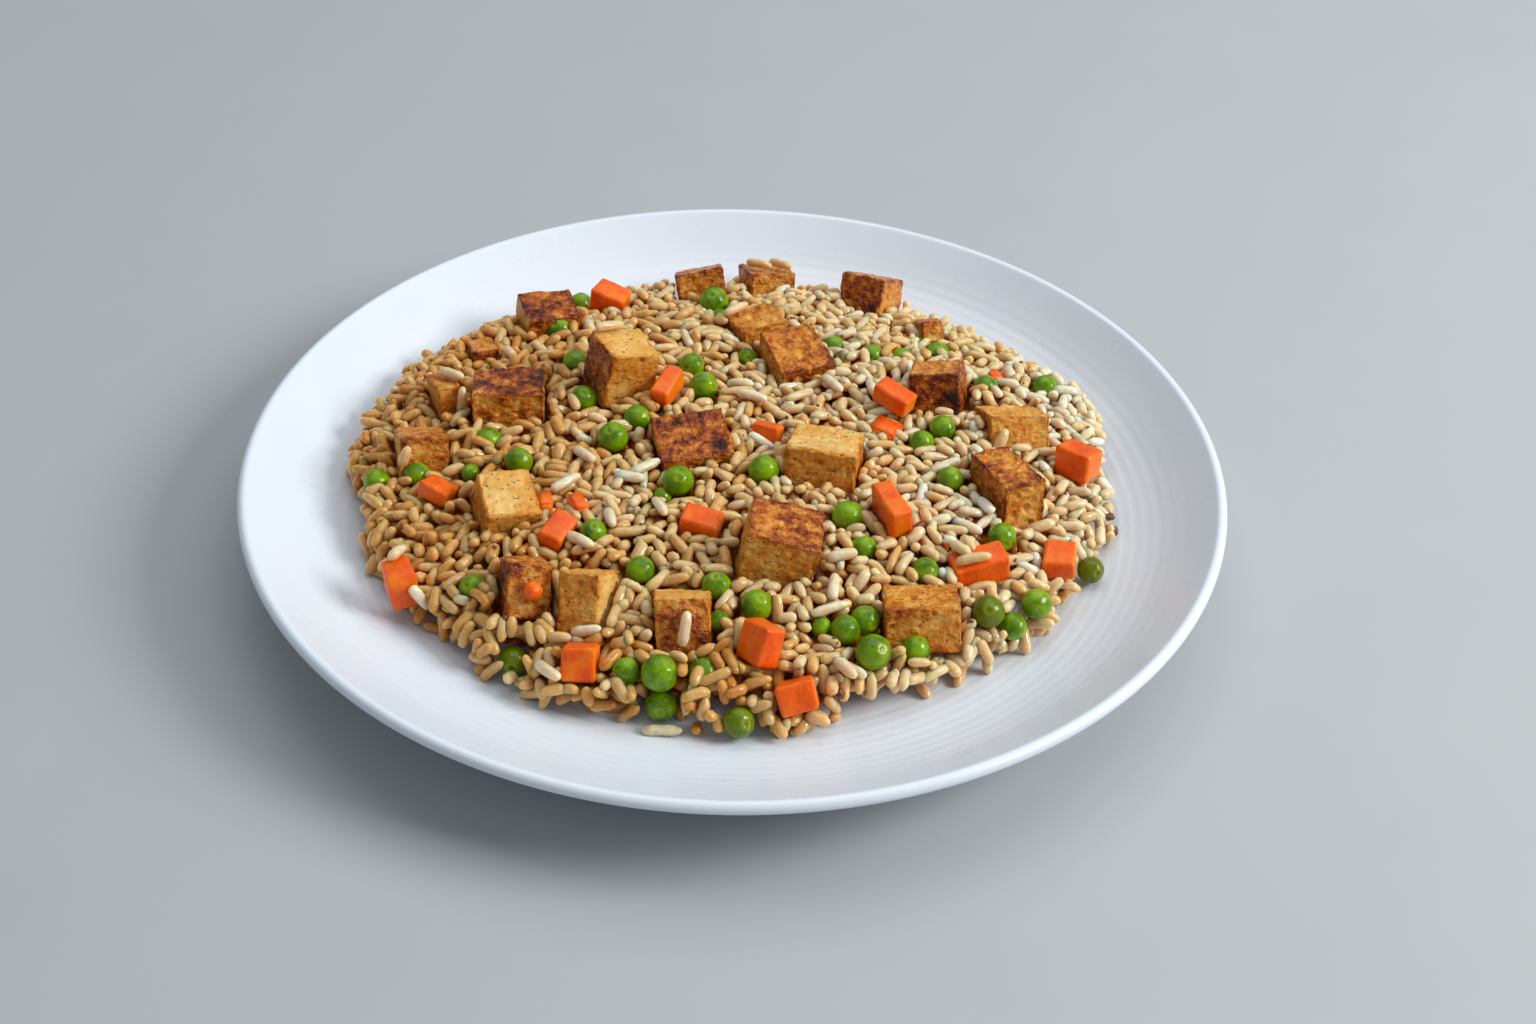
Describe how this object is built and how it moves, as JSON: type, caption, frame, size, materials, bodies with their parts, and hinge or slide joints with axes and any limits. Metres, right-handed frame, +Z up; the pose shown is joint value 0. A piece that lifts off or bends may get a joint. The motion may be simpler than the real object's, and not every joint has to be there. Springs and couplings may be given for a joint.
{
  "type": "fried rice plate",
  "caption": "Heap of fried rice with browned tofu cubes, diced carrot and green peas on a round white coupe plate with a foot ring.",
  "frame": {"origin": "on the table under the middle of the plate", "axes": "+Z up, -Y towards the diner"},
  "size_m": [0.27, 0.27, 0.0426],
  "materials": {
    "glaze": "gloss",
    "rice": "satin",
    "tofu": "satin",
    "carrot": "satin",
    "pea": "satin"
  },
  "bodies": {
    "root": {"plate": "glaze", "rice": "rice", "tofu_01": "tofu", "tofu_02": "tofu", "tofu_03": "tofu", "tofu_04": "tofu", "tofu_05": "tofu", "tofu_06": "tofu", "tofu_07": "tofu", "tofu_08": "tofu", "tofu_09": "tofu", "tofu_10": "tofu", "tofu_11": "tofu", "tofu_12": "tofu", "tofu_13": "tofu", "tofu_14": "tofu", "tofu_15": "tofu", "tofu_16": "tofu", "tofu_17": "tofu", "tofu_18": "tofu", "tofu_19": "tofu", "tofu_20": "tofu", "tofu_21": "tofu", "tofu_22": "tofu", "tofu_23": "tofu", "carrot_01": "carrot", "carrot_02": "carrot", "carrot_03": "carrot", "carrot_04": "carrot", "carrot_05": "carrot", "carrot_06": "carrot", "carrot_07": "carrot", "carrot_08": "carrot", "carrot_09": "carrot", "carrot_10": "carrot", "carrot_11": "carrot", "carrot_12": "carrot", "carrot_13": "carrot", "carrot_14": "carrot", "carrot_15": "carrot", "pea_01": "pea", "pea_02": "pea", "pea_03": "pea", "pea_04": "pea", "pea_05": "pea", "pea_06": "pea", "pea_07": "pea", "pea_08": "pea", "pea_09": "pea", "pea_10": "pea", "pea_11": "pea", "pea_12": "pea", "pea_13": "pea", "pea_14": "pea", "pea_15": "pea", "pea_16": "pea", "pea_17": "pea", "pea_18": "pea", "pea_19": "pea", "pea_20": "pea"}
  },
  "joints": []
}
